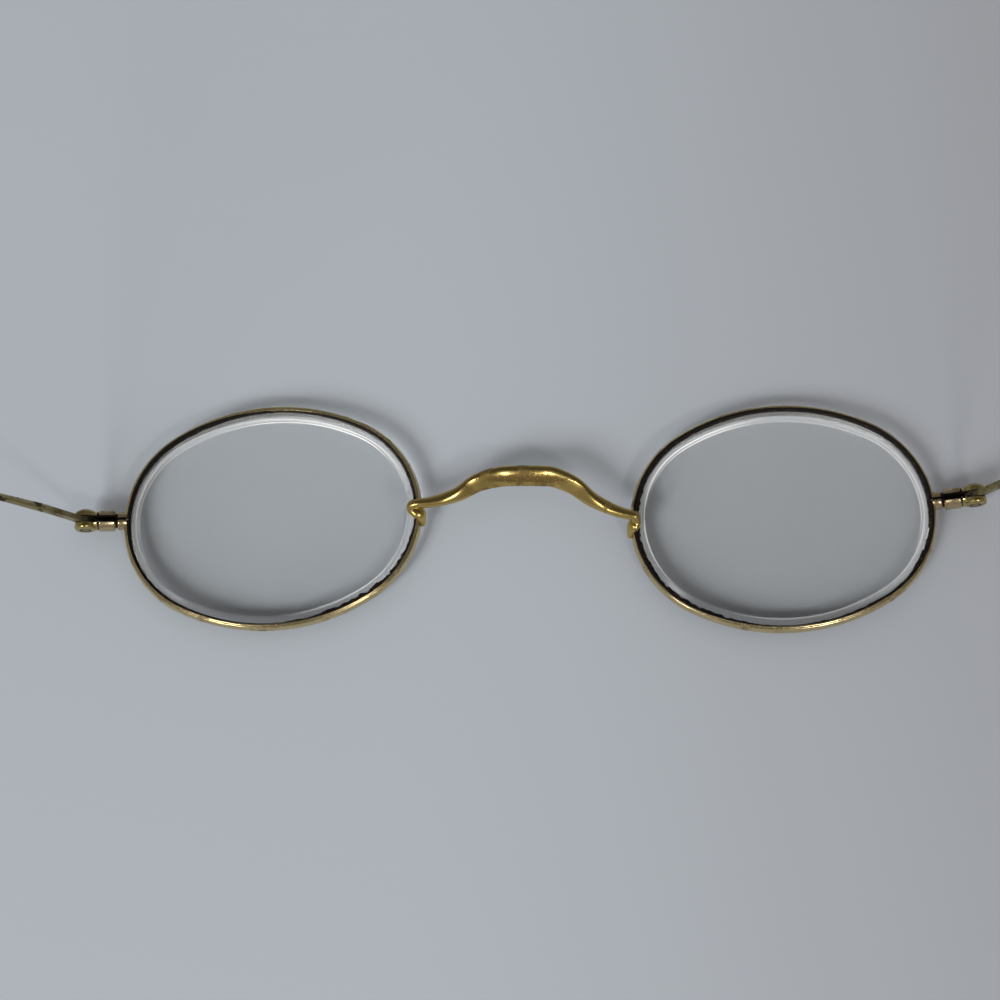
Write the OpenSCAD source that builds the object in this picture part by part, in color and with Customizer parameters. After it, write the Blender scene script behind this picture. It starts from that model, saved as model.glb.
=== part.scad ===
// Oval wire-rim eyeglasses with a saddle bridge and riding-bow temples.
// They lie on the fronts of their lenses at z = 0 with the temples open.
// +X runs to the wearer's right, +Y to the brow and +Z to the back, where the wearer is.
// The origin lies between the two lens centres, on the surface that the lenses rest on.

/* [Front] */
// Distance between the two lens centres
lens_distance = 64.6; // [60:0.2:72]
// Width of an eye wire, outside
eye_w = 38.3; // [36:0.1:40]
// Height of an eye wire, outside
eye_h = 29.7; // [28:0.1:31]
// Radius of the tight arcs at the two ends of the oval, outside
end_r = 13.3; // [12.5:0.1:13.8]
// Turn of each oval in its own plane, as this frame has been bent
oval_turn = 4.1; // [-5:0.1:5]

/* [Eye wire] */
// Thickness of the eye wire, from the lens outwards
wire_w = 0.75; // [0.7:0.05:1]
// Depth of the eye wire, from front to back
wire_d = 1.7; // [1.5:0.05:2.2]
// Depth of the groove that holds the lens
groove_d = 0.38; // [0.34:0.02:0.45]
// Width of the groove at its mouth
groove_w = 0.9; // [0.7:0.05:1.1]
// Gap between the two ends of the wire, inside the endpiece
split_gap = 0.3; // [0.2:0.05:0.4]

/* [Lens] */
// Thickness of a lens at its middle
lens_t = 1.7; // [1.5:0.1:2.2]
// Radius of the front surface
front_r = 100; // [80:5:160]
// Radius of the back surface
back_r = 100; // [80:5:160]
// How far the sharp edge of the lens stands into the groove
edge_in = 0.3; // [0.2:0.02:0.32]
// Slope of the ground edge against the plane of the lens
edge_slope = 35; // [30:1:45]

/* [Bridge] */
// Height of the crest's middle line above the lens centres
crest_y = 4.85; // [3:0.05:8]
// Half of the width over which the crest stays high
crest_half = 3.6; // [2.5:0.1:5]
// Height of the crest's section at the middle
crest_h = 2.62; // [1.6:0.02:3]
// Depth of the crest's section at the middle
crest_d = 1.72; // [1.2:0.05:2.2]
// Thickness of a shank where it bends to its foot
shank_t = 1.25; // [0.9:0.05:1.3]
// Height of the shank's end above the lens centres
shank_y = 0.4; // [-1:0.1:2]
// How far behind the middle of the eye wires the bridge lies
bridge_back = 2.1; // [2:0.1:4]
// How far below the lens centres a foot ends
foot_drop = 1.85; // [1:0.1:3]
// Slope that the bent frame gives the two shanks
shank_slope = 0.08; // [-0.12:0.01:0.12]

/* [Endpieces] */
// Height of an endpiece above the long axis of the oval
lug_rise = 0.8; // [0:0.05:1.5]
// Angle at which an endpiece leans back
lug_sweep = 13; // [8:1:18]
// Length of the collar at the eye wire
collar_len = 0.8; // [0.6:0.05:1.2]
// Radius of the collar
collar_r = 1.15; // [1:0.05:1.3]
// Radius of the block
block_r = 1.33; // [1.2:0.05:1.5]
// Length of the block
block_len = 2; // [1.8:0.1:3]
// Width of the grooves on each side of the block
seam_w = 0.3; // [0.2:0.05:0.4]
// Radius of the ear, round the joint
ear_r = 1.4; // [1.35:0.05:1.8]
// Height of the ear, both halves and the slot
ear_h = 2.45; // [2.3:0.05:3.2]

/* [Joint] */
// Radius of the joint screw
screw_r = 0.56; // [0.4:0.02:0.6]
// Running clearance round the screw
screw_clearance = 0.04; // [0.02:0.01:0.08]
// Radius of the screw head
head_r = 0.85; // [0.75:0.05:0.9]
// Height of the screw head
head_h = 0.38; // [0.3:0.02:0.5]
// Thickness of the temple's tang
tang_t = 0.68; // [0.5:0.02:0.8]
// Clearance on each side of the tang
tang_clearance = 0.05; // [0.03:0.01:0.08]
// Width of the tang
tang_w = 1; // [0.9:0.05:1.2]
// Length of the tang, from the joint's axis
tang_len = 6.6; // [6.4:0.1:8]

/* [Temples] */
// Angle at which an open temple leans outwards
splay = 26; // [0:1:30]
// Angle at which the wire drops from the tang
drop = 2.5; // [0:0.5:6]
// Diameter of the wire where it leaves the tang
shoulder_d = 1.05; // [0.9:0.05:1.1]
// Diameter of the wire
temple_d = 0.8; // [0.7:0.05:1]
// Length from the joint to the bend behind the ear
bend_len = 98; // [85:1:110]
// Radius of the riding bow
bow_r = 17; // [13:1:20]
// Turn of the riding bow
bow_turn = 150; // [120:5:165]
// Length of the straight end after the bow
tail_len = 8; // [4:1:14]
// Diameter of the ball on the end
tip_d = 1.9; // [1.4:0.1:2.4]

/* [Hidden] */
$fn = 96;
left = -1;
right = 1;
upper = 1;
lower = -1;
// Room beyond a face, so that a cut goes right through it
cut = 1;
// How much wider than the wire the solder is where two lengths of it meet
solder = 0.01;
// How far neighbouring arcs of the oval run into each other, as an angle
overlap = 3;
// How far each long arc's share of the lens reaches beyond the middle
middle = 2;

// The oval of the eye wire's inner edge, as two tight end arcs and two long flat ones
in_a = eye_w / 2 - wire_w;
in_b = eye_h / 2 - wire_w;
in_r = end_r - wire_w;
end_x = in_a - in_r;
flat_y = (pow(end_x, 2) - pow(in_b - in_r, 2)) / (2 * (in_b - in_r));
flat_r = in_b + flat_y;
join_angle = atan2(flat_y, end_x);
// Each arc as its centre, its radius, where it starts and how far it runs
arcs = [
    [[end_x, 0], in_r, -join_angle, 2 * join_angle],
    [[0, -flat_y], flat_r, join_angle, 180 - 2 * join_angle],
    [[-end_x, 0], in_r, 180 - join_angle, 2 * join_angle],
    [[0, flat_y], flat_r, 180 + join_angle, 180 - 2 * join_angle]
];

// The lens surfaces at a distance from the lens centre
function front_z(r) = front_r - sqrt(pow(front_r, 2) - r * r);
function back_z(r) = lens_t + back_r - sqrt(pow(back_r, 2) - r * r);
// Middle of the eye wire, where the sharp edge lies between both surfaces all round
rim_z = (front_z(in_a + edge_in) + back_z(in_b + edge_in)) / 2;
rim_back_z = rim_z + wire_d / 2;

// Radius of the wire's rounded outer side, in section
wire_round = 0.98;

// Stations along the endpiece, from the eye wire outwards
neck_u = collar_len;
block_u = neck_u + seam_w;
waist_u = block_u + block_len;
ear_u = waist_u + seam_w + ear_r;
neck_r = collar_r - 0.2;
waist_r = block_r - 0.33;
collar_sink = 0.3;
slot_w = tang_t + 2 * tang_clearance;
bore_r = screw_r + screw_clearance;
// The wall that the heel of an open temple leans on
heel_gap = 0.05;
heel_reach = ear_r + 0.05;
heel_wall = heel_reach + heel_gap;
eye_r = ear_r - 0.15;
hinge_x = eye_w / 2 + ear_u * cos(lug_sweep);
hinge_z = rim_z + ear_u * sin(lug_sweep);
// How far the screw head is let into the upper ear
head_sink = head_h - 0.12;

// Stations along a temple's wire, from the joint's axis
drop_at = tang_len + 0.6;
shoulder_end = 9;
taper_end = 18;

// Each side has its own frame at the lens centre, with +X to the temple.
// The left one is turned half round, so side * y is a height above the long axis in both.
module at_side(side) {
    translate([side * lens_distance / 2, 0, 0])
        rotate([0, 0, oval_turn + (side == left ? 180 : 0)])
            children();
}

module along(arc) {
    translate([arc[0].x, arc[0].y, rim_z])
        rotate([0, 0, arc[2] - overlap])
            rotate_extrude(angle = arc[3] + 2 * overlap)
                children();
}

// The eye wire's section without its groove, at the radius of an arc
module wire_blank(r) {
    intersection() {
        translate([r, -wire_d / 2]) square([wire_w, wire_d]);
        translate([r + wire_w - wire_round, 0]) circle(r = wire_round);
    }
}

module wire_section(r) {
    difference() {
        wire_blank(r);
        polygon([[r - cut, -groove_w / 2], [r, -groove_w / 2], [r + groove_d, 0],
                 [r, groove_w / 2], [r - cut, groove_w / 2]]);
    }
}

module rim(side) {
    difference() {
        for (arc = arcs)
            along(arc) wire_section(arc[1]);
        translate([in_a - cut, side * lug_rise - split_gap / 2, rim_z - wire_d])
            cube([wire_w + 2 * cut, split_gap, 2 * wire_d]);
    }
}

// The lens's flat section with its ground edge. It starts a little beyond the lens's middle,
// or at the arc's centre where that is nearer.
module lens_section(r) {
    half = 2 * lens_t;
    run = half / tan(edge_slope);
    start = max(0, r - in_b - middle);
    polygon([[start, -half], [r + edge_in - run, -half], [r + edge_in, 0],
             [r + edge_in - run, half], [start, half]]);
}

module lens() {
    difference() {
        intersection() {
            union() for (arc = arcs) along(arc) lens_section(arc[1]);
            translate([0, 0, front_r]) sphere(r = front_r, $fn = 240);
        }
        translate([0, 0, lens_t + back_r]) sphere(r = back_r, $fn = 240);
    }
}

module at_endpiece(side) {
    translate([eye_w / 2, side * lug_rise, rim_z])
        rotate([0, -lug_sweep, 0])
            children();
}

// A corner rounded in section, as points from one angle to another
function corner(x, y, r, from, to) =
    [for (i = [0:4]) [x + r * cos(from + (to - from) * i / 4), y + r * sin(from + (to - from) * i / 4)]];

// Collar, neck, block and waist, turned in one piece
module turned_part() {
    collar_edge = 0.12;
    block_edge = 0.4;
    inside_ear = ear_u - ear_r + 0.5;
    rotate([0, 90, 0])
        rotate_extrude()
            polygon(concat([[0, -collar_sink], [collar_r, -collar_sink]],
                           corner(collar_r - collar_edge, neck_u - collar_edge, collar_edge, 0, 90),
                           [[neck_r, neck_u], [neck_r, block_u]],
                           corner(block_r - block_edge, block_u + block_edge, block_edge, -90, 0),
                           corner(block_r - block_edge, waist_u - block_edge, block_edge, 0, 90),
                           [[waist_r, waist_u], [waist_r, inside_ear], [0, inside_ear]]));
}

module ear() {
    edge = 0.3;
    translate([ear_u, 0, 0])
        rotate([-90, 0, 0])
            rotate_extrude()
                polygon(concat([[0, -ear_h / 2]], corner(ear_r - edge, edge - ear_h / 2, edge, -90, 0),
                               corner(ear_r - edge, ear_h / 2 - edge, edge, 0, 90), [[0, ear_h / 2]]));
}

// A pin on the joint's axis, from one height to another above the tang's middle
module on_axis(side, from, to, r) {
    translate([ear_u, side * from, 0])
        rotate([-90 * side, 0, 0])
            cylinder(r = r, h = to - from);
}

// Half of the endpiece, above or below the split of the eye wire
module lug(side, part) {
    high = 2 * ear_h;
    far = 2 * ear_u;
    difference() {
        at_endpiece(side)
            difference() {
                union() {
                    turned_part();
                    ear();
                }
                translate([-cut, side * part == upper ? split_gap / 2 - high : -split_gap / 2, -high])
                    cube([far, high, 2 * high]);
                // Slot for the tang, open at the back, and at the front beyond the heel's wall
                translate([block_u, -slot_w / 2, 0])
                    cube([far, slot_w, high]);
                translate([ear_u - heel_wall, -slot_w / 2, -high])
                    cube([far, slot_w, 2 * high]);
                on_axis(side, -ear_h, ear_h, bore_r);
                on_axis(side, ear_h / 2 - head_sink, ear_h, head_r + screw_clearance);
            }
        along(arcs[0]) wire_blank(in_r);
    }
}

module joint_screw(side) {
    slot = 0.2;
    head_top = ear_h / 2 - head_sink + head_h;
    at_endpiece(side)
        difference() {
            union() {
                on_axis(side, -ear_h / 2, ear_h / 2 - head_sink, screw_r);
                on_axis(side, ear_h / 2 - head_sink, head_top, head_r);
            }
            translate([ear_u - head_r - cut, side * head_top - slot, -slot / 2])
                cube([2 * (head_r + cut), 2 * slot, slot]);
        }
}

// Flat tang with its eye and the heel that stops the temple when it is open
module tang() {
    rotate([90, 0, 0])
        linear_extrude(height = tang_t, center = true)
            difference() {
                union() {
                    rotate(-splay) {
                        circle(r = eye_r);
                        translate([-tang_w / 2, 0]) square([tang_w, tang_len]);
                    }
                    rotate(lug_sweep)
                        polygon([[0, eye_r * 0.9], [-heel_reach, 0.15], [-heel_reach, -0.55],
                                 [0, -eye_r * 0.9]]);
                }
                circle(r = bore_r);
            }
}

module at_hinge(side) {
    translate([hinge_x, side * lug_rise, hinge_z])
        children();
}

// The wire's own frame, with +Z along it from the joint and -Y downwards on both sides
module at_wire(side) {
    at_hinge(side)
        rotate([0, splay, 0])
            rotate([0, 0, side == left ? 180 : 0])
                translate([0, 0, drop_at])
                    rotate([drop, 0, 0])
                        translate([0, 0, -drop_at])
                            children();
}

module at_tail() {
    translate([0, -bow_r, bend_len])
        rotate([bow_turn, 0, 0])
            translate([0, bow_r, 0])
                children();
}

// A length of wire along +Z, between two diameters
module wire(from, to, d1, d2) {
    translate([0, 0, from])
        cylinder(r1 = d1 / 2, r2 = d2 / 2, h = to - from);
}

// The solder that joins two lengths of wire
module soldered(z, d) {
    translate([0, 0, z]) sphere(r = d / 2 + solder);
}

module temple(side) {
    at_hinge(side) tang();
    at_hinge(side)
        rotate([0, splay, 0]) {
            wire(tang_len - 0.8, tang_len, tang_t - 0.16, shoulder_d);
            wire(tang_len, drop_at, shoulder_d, shoulder_d);
        }
    at_wire(side) {
        soldered(drop_at, shoulder_d);
        wire(drop_at, shoulder_end, shoulder_d, shoulder_d);
        soldered(shoulder_end, shoulder_d);
        wire(shoulder_end, taper_end, shoulder_d, temple_d);
        soldered(taper_end, temple_d);
        wire(taper_end, bend_len, temple_d, temple_d);
        soldered(bend_len, temple_d);
        translate([0, -bow_r, bend_len])
            rotate([90, 0, 90])
                rotate_extrude(angle = bow_turn)
                    translate([bow_r, 0]) circle(r = temple_d / 2);
        at_tail() {
            soldered(0, temple_d);
            wire(0, tail_len, temple_d, temple_d);
        }
    }
}

// The ball has a blind hole that takes the end of the wire
module tip(side) {
    grip = 0.5;
    at_wire(side)
        at_tail()
            difference() {
                translate([0, 0, tail_len - grip + tip_d / 2]) sphere(r = tip_d / 2);
                cylinder(r = temple_d / 2, h = tail_len);
            }
}

// Points of the bridge on one side, from the crest to the foot:
// each holds x, y, z and half of the section's height and depth
nasal_x = (lens_distance - eye_w) / 2;
bridge_z = rim_z + bridge_back;
shank_r = shank_t / 2;
foot_z = rim_z + 0.1;
flank_h = crest_h / 2 - shank_r;
flank_d = crest_d / 2 - shank_r;
flank_y = crest_y - shank_y;
flank_x = nasal_x - crest_half;
// Where the eye wire's outer side meets a height on the nasal side
function wire_x(side, y) =
    lens_distance / 2 - end_x * cos(oval_turn)
    - sqrt(pow(end_r, 2) - pow(y + side * end_x * sin(oval_turn), 2));
function lean(side, x, y) = y - side * shank_slope * max(0, x - crest_half);
function bridge_half(side) =
    let (foot_y = lean(side, nasal_x, -foot_drop),
         foot_x = wire_x(side, foot_y))
    [for (p = [
        [0, crest_y, bridge_z + 0.1, crest_h / 2, crest_d / 2],
        [crest_half, crest_y - 0.06 * flank_y, bridge_z + 0.1, crest_h / 2 - 0.04, crest_d / 2 - 0.02],
        [crest_half + 0.26 * flank_x, crest_y - 0.26 * flank_y, bridge_z + 0.08,
            shank_r + 0.76 * flank_h, shank_r + 0.8 * flank_d],
        [crest_half + 0.49 * flank_x, crest_y - 0.61 * flank_y, bridge_z + 0.04,
            shank_r + 0.46 * flank_h, shank_r + 0.6 * flank_d],
        [crest_half + 0.73 * flank_x, crest_y - 0.84 * flank_y, bridge_z,
            shank_r + 0.25 * flank_h, shank_r + 0.4 * flank_d],
        [crest_half + 0.9 * flank_x, crest_y - 0.95 * flank_y, bridge_z,
            shank_r + 0.1 * flank_h, shank_r + 0.15 * flank_d],
        [nasal_x + 0.35, shank_y, bridge_z, shank_r, shank_r],
        [nasal_x + 0.85, shank_y - 0.22, bridge_z - 0.2, shank_r - 0.02, shank_r - 0.02],
        [nasal_x + 0.92, shank_y - 0.65, bridge_z - 0.62, shank_r - 0.06, shank_r - 0.06],
        [foot_x + 0.3, shank_y - 1.2, rim_back_z + 0.32, 0.4, 0.4],
        [foot_x - 0.12, shank_y - 1.75, rim_back_z - 0.28, 0.36, 0.34],
        [foot_x - 0.24, -foot_drop, foot_z, 0.32, 0.28]
    ]) [side * p[0], lean(side, p[0], p[1]), p[2], p[3], p[4]]];

// A smooth curve through the points, with some steps from each to the next
steps = 3;
function smooth(a, b, c, d, t) =
    (2 * b + (c - a) * t + (2 * a - 5 * b + 4 * c - d) * t * t + (3 * b - a - 3 * c + d) * t * t * t) / 2;
function curve(p) =
    let (last = len(p) - 1)
    concat([for (i = [0:last - 1], k = [0:steps - 1])
        smooth(p[max(i - 1, 0)], p[i], p[i + 1], p[min(i + 2, last)], k / steps)], [p[last]]);
function place(p) = [p[0], p[1], p[2]];
function unit(v) = v / norm(v);
function headings(c) =
    [for (i = [0:len(c) - 1])
        unit(place(c[min(i + 1, len(c) - 1)]) - place(c[max(i - 1, 0)]))];
// Carries one direction of the section along the curve without twisting it
function carried(heading, up, i = 0) =
    i == len(heading) ? [] :
    let (next = unit(up - (up * heading[i]) * heading[i]))
    concat([next], carried(heading, next, i + 1));
// A rounded, slightly square section
section_sides = 16;
section_power = 2 / 2.5;
function squared(v) = sign(v) * pow(abs(v), section_power);
function ring(side, p, heading, up) =
    let (across = side * cross(heading, up))
    [for (i = [0:section_sides - 1])
        let (angle = 360 * (i + 0.5) / section_sides)
        place(p) + up * p[3] * squared(cos(angle)) + across * p[4] * squared(sin(angle))];
function rings(side) =
    let (line = curve(bridge_half(side)),
         heading = headings(line),
         up = carried(heading, [0, 1, 0]))
    [for (i = [0:len(line) - 1]) ring(side, line[i], heading[i], up[i])];

module bridge_solid() {
    left_rings = rings(left);
    right_rings = rings(right);
    last = len(left_rings) - 1;
    all = concat([for (i = [last:-1:1]) left_rings[i]], right_rings);
    n = section_sides;
    polyhedron(
        points = [for (r = all, p = r) p],
        faces = concat(
            [[for (i = [n - 1:-1:0]) i]],
            [for (r = [0:len(all) - 2], i = [0:n - 1], half = [0, 1])
                let (a = r * n + i, b = r * n + (i + 1) % n)
                half == 0 ? [a, b, b + n] : [a, b + n, a + n]],
            [[for (i = [0:n - 1]) (len(all) - 1) * n + i]]
        ),
        convexity = 6
    );
}

module left_rim() { color("#b59c5c") at_side(left) rim(left); }
module right_rim() { color("#b59c5c") at_side(right) rim(right); }
module left_lens() { color([0.86, 0.89, 0.88, 0.35]) at_side(left) lens(); }
module right_lens() { color([0.86, 0.89, 0.88, 0.35]) at_side(right) lens(); }
module bridge() { color("#c29a45") bridge_solid(); }
module left_lug_upper() { color("#9c8a62") at_side(left) lug(left, upper); }
module left_lug_lower() { color("#9c8a62") at_side(left) lug(left, lower); }
module right_lug_upper() { color("#9c8a62") at_side(right) lug(right, upper); }
module right_lug_lower() { color("#9c8a62") at_side(right) lug(right, lower); }
module left_joint_screw() { color("#7d7564") at_side(left) joint_screw(left); }
module right_joint_screw() { color("#7d7564") at_side(right) joint_screw(right); }
module left_temple() { color("#84764f") at_side(left) temple(left); }
module right_temple() { color("#84764f") at_side(right) temple(right); }
module left_tip() { color("#a08a50") at_side(left) tip(left); }
module right_tip() { color("#a08a50") at_side(right) tip(right); }

left_rim();
right_rim();
left_lens();
right_lens();
bridge();
left_lug_upper();
left_lug_lower();
right_lug_upper();
right_lug_lower();
left_joint_screw();
right_joint_screw();
left_temple();
right_temple();
left_tip();
right_tip();
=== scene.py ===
import math

import bmesh
import bpy
from bpy.props import FloatProperty, FloatVectorProperty, PointerProperty
from mathutils import Matrix, Vector, noise


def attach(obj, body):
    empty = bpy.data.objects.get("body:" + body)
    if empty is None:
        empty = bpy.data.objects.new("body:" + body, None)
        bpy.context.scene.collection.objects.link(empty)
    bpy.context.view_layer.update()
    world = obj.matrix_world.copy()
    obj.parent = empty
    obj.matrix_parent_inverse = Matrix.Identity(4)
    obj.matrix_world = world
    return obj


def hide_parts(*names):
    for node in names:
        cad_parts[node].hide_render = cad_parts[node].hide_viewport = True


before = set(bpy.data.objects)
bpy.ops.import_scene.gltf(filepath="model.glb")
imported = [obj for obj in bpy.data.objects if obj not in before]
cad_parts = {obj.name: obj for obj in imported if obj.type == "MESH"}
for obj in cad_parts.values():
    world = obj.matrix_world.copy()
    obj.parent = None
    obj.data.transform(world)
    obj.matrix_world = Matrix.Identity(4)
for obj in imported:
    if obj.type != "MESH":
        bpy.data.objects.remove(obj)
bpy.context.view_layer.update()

bl_info = {
    "name": "Oval wire eyeglasses",
    "version": (1, 0, 0),
    "blender": (4, 5, 0),
    "location": "View3D > Sidebar > Eyeglasses",
    "description": "Dresses a pair of old oval wire eyeglasses and sets them on a plain table",
    "category": "Object",
}

MM = 0.001
SIDES = {"left": -1, "right": 1}
SPLIT_RISE = 0.8 * MM  # from the oval's long axis to the split in its wire
ENDPIECE_TILT = math.radians(-13)
HINGE_OUT = 4.8  # mm from the outside of the wire to the joint's screw


# ---- sizes and finishes


def length(name, text, mm):
    return FloatProperty(
        name=name, description=text, default=mm * MM, min=0.0, subtype="DISTANCE", unit="LENGTH", precision=5
    )


def colour(name, text, value):
    return FloatVectorProperty(
        name=name, description=text, default=value, size=3, min=0.0, max=1.0, subtype="COLOR"
    )


def share(name, text, value):
    return FloatProperty(name=name, description=text, default=value, min=0.0, max=1.0, subtype="FACTOR")


def strength(name, text, value):
    return FloatProperty(name=name, description=text, default=value, min=0.0)


class EyeglassSizes(bpy.types.PropertyGroup):
    """Sizes that the dressed pieces share with the solids"""

    lens_distance: length("Lens distance", "Distance between the two lens centres", 64.6)
    eye_width: length("Eye width", "Width of an eye wire, outside", 38.3)
    eye_height: length("Eye height", "Height of an eye wire, outside", 29.7)
    end_radius: length("End radius", "Radius of the oval's tight arcs, outside", 13.3)
    oval_turn: FloatProperty(
        name="Oval turn",
        description="Turn of each bent oval in its own plane",
        default=math.radians(4.1),
        subtype="ANGLE",
    )
    wire_width: length("Wire width", "Thickness of the eye wire from the lens outwards", 0.75)
    split_gap: length("Split gap", "Gap between the ends of the eye wire", 0.3)
    lens_thickness: length("Lens thickness", "Thickness of a lens at its middle", 1.7)
    surface_radius: length("Surface radius", "Radius of both lens surfaces", 100.0)
    edge_in: length("Edge in groove", "How far the lens edge stands into the groove", 0.3)
    ground_width: length("Ground edge", "Width of the ground band inside the wire", 1.12)


class MetalFinish(bpy.types.PropertyGroup):
    """Colours of the metal parts"""

    gold: colour("Gold", "Polished gold colour of the bridge", (0.68, 0.50, 0.17))
    worn_gold: colour("Worn gold", "Rubbed gold of the eye wires", (0.76, 0.63, 0.35))
    tarnish: colour("Tarnish", "Brown tarnish in the corners", (0.13, 0.080, 0.035))
    dark_tarnish: colour("Dark tarnish", "Deep brown tarnish on the bridge", (0.085, 0.045, 0.014))
    olive: colour("Olive", "Dull gold of the temples", (0.38, 0.32, 0.16))
    ear_gold: colour("Ear gold", "Yellow gold of the endpieces' ears", (0.56, 0.46, 0.18))
    satin: colour("Satin", "Pale satin gold of the endpieces", (0.62, 0.49, 0.29))
    # This dark colour also paints the shade in the dark band on the eye wires' inner side
    grime: colour("Grime", "Dirt between wire and lens", (0.007, 0.005, 0.004))
    fleck: colour("Fleck", "Brown flecks in the dirt", (0.14, 0.085, 0.035))


class GlassFinish(bpy.types.PropertyGroup):
    """Look of the lenses"""

    tint: colour("Tint", "Colour of the glass", (0.82, 0.81, 0.80))
    ground_tint: colour("Ground tint", "Colour of the ground edge", (0.87, 0.86, 0.85))
    # Painted highlight: besides whitening the ground edge, this colour paints the white line of mirrored
    # light inside it
    frost_and_glint: colour("Frost", "Colour of the white line inside the ground edge", (0.93, 0.92, 0.91))
    shadow_tint: colour("Shadow tint", "Light that each surface lets onto the table", (0.90, 0.90, 0.89))
    ground_roughness: share("Ground roughness", "Roughness of the ground edge", 0.16)
    ground_white: share("Ground white", "How white the ground edge looks", 0.05)


class StageSetup(bpy.types.PropertyGroup):
    """Table, light and camera"""

    table: colour("Table", "Colour of the table", (0.368, 0.392, 0.428))
    table_cloud: colour("Table cloud", "Tone of the faint clouds on the table", (0.36, 0.38, 0.41))
    # Painted shade: the table's tone right of the part, darker as if the light fell off there
    table_painted_shade: colour("Table right", "Tone of the table right of the part", (0.285, 0.286, 0.305))
    sky: strength("Sky", "Strength of the soft light from all round", 0.58)
    key: strength("Key", "Power of the lamp that casts the shadow", 55.0)
    fill: strength("Fill", "Power of each small lamp that the metal mirrors", 0.68)


def sizes():
    return bpy.context.scene.eyeglass_sizes


def metals():
    return bpy.context.scene.eyeglass_metals


def glasses():
    return bpy.context.scene.eyeglass_glass


# ---- the oval and its frame


class Oval:
    """The inner edge of an eye wire: two tight end arcs and two flat ones"""

    def __init__(self):
        s = sizes()
        self.half_width = s.eye_width / 2 - s.wire_width
        self.half_height = s.eye_height / 2 - s.wire_width
        self.end_radius = s.end_radius - s.wire_width
        self.end_x = self.half_width - self.end_radius
        rest = self.half_height - self.end_radius
        self.flat_y = (self.end_x**2 - rest**2) / (2 * rest)
        self.flat_radius = self.half_height + self.flat_y
        self.join = math.atan2(self.flat_y, self.end_x)
        self.mid_z = (
            front_height(self.half_width + s.edge_in) + back_height(self.half_height + s.edge_in)
        ) / 2

    def start_points(self, section):
        """A section's points, given as outward offset and height, where the first arc starts"""
        along_x, along_y = math.cos(-self.join), math.sin(-self.join)
        radii = [(self.end_radius + out, z) for out, z in section]
        return [Vector((self.end_x + r * along_x, r * along_y, z)) for r, z in radii]

    def outside(self, x, y):
        """Distance outside the oval's inner edge, negative inside"""
        ax, ay = abs(x), abs(y)
        if ay * self.end_x < (ax - self.end_x) * self.flat_y:
            return math.hypot(ax - self.end_x, ay) - self.end_radius
        return math.hypot(ax, ay + self.flat_y) - self.flat_radius


def front_height(r):
    """Height of a lens's front surface above the table at a distance from its centre"""
    big = sizes().surface_radius
    return big - math.sqrt(big * big - r * r)


def back_height(r):
    return sizes().lens_thickness + front_height(r)


def side_matrix(side):
    """From a side's own frame, with +X to the temple, to the whole object's"""
    s = sizes()
    turn = s.oval_turn + (math.pi if side < 0 else 0.0)
    return Matrix.Translation((side * s.lens_distance / 2, 0, 0)) @ Matrix.Rotation(turn, 4, "Z")


def endpiece_matrix(side):
    """From an endpiece's frame, with +X outwards along it and +Y across its split"""
    s = sizes()
    place = Matrix.Translation((s.eye_width / 2, side * SPLIT_RISE, Oval().mid_z))
    return side_matrix(side) @ place @ Matrix.Rotation(ENDPIECE_TILT, 4, "Y")


def hinge_place(name):
    """Where a joint's screw crosses its split"""
    return endpiece_matrix(SIDES[name]) @ Vector((HINGE_OUT * MM, 0, 0))


# How far a dark band of old dirt and painted shade reaches onto each wire from its inner side, and how far
# old dirt has crept onto each lens, every 45 degrees from the right, counterclockwise as worn, in millimetres
DIRT_AND_SHADE_ON_WIRE = {
    "left": (0.14, 0.14, 0.03, 0.30, 0.24, 0.12, 0.08, 0.16),
    "right": (0.38, 0.32, 0.28, 0.38, 0.44, 0.28, 0.06, 0.12),
}
DIRT_ON_LENS = {
    "left": (0.26, 0.14, 0.08, 0.18, 0.16, 0.18, 0.16, 0.42),
    "right": (0.32, 0.16, 0.10, 0.18, 0.34, 0.34, 0.16, 0.26),
}

# How much of a painted highlight shows along the inner side of each ground edge: a white line that stands in
# for light mirrored in the lens's bevel
PAINTED_GLINT = {
    "left": (0.15, 1.0, 0.70, 0.25, 0.25, 0.06, 0.02, 0.35),
    "right": (0.40, 0.40, 0.20, 0.95, 0.45, 0.03, 0.25, 0.22),
}


def round_oval(values, angle):
    """Blends the eight values smoothly round the oval"""
    place = (angle % (2 * math.pi)) / (2 * math.pi) * len(values)
    i = int(place) % len(values)
    t = place - int(place)
    t = t * t * (3 - 2 * t)
    return values[i] * (1 - t) + values[(i + 1) % len(values)] * t


def angle_round(name, point):
    """Direction of a point from its lens centre, as worn"""
    return math.atan2(point.y, point.x - SIDES[name] * sizes().lens_distance / 2)


# ---- modelling helpers


def deselect_all():
    if bpy.context.object and bpy.context.object.mode != "OBJECT":
        bpy.ops.object.mode_set(mode="OBJECT")
    bpy.ops.object.select_all(action="DESELECT")


def activate(piece):
    deselect_all()
    piece.select_set(True)
    bpy.context.view_layer.objects.active = piece


def place_selected(piece, points):
    """Moves the selected vertices of the ring being edited to the given points, in ring order"""
    bm = bmesh.from_edit_mesh(piece.data)
    ring = [v for v in bm.verts if v.select]
    ring.sort(key=lambda v: v.index)
    for vertex, point in zip(ring, points, strict=True):
        vertex.co = point
    bmesh.update_edit_mesh(piece.data)


def start_ring(name, points):
    """A closed ring of vertices, selected in edit mode"""
    deselect_all()
    bpy.ops.mesh.primitive_circle_add(vertices=len(points), radius=MM)
    piece = bpy.context.object
    piece.name = piece.data.name = name
    bpy.ops.object.mode_set(mode="EDIT")
    bpy.ops.mesh.select_all(action="SELECT")
    place_selected(piece, points)
    return piece


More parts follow.
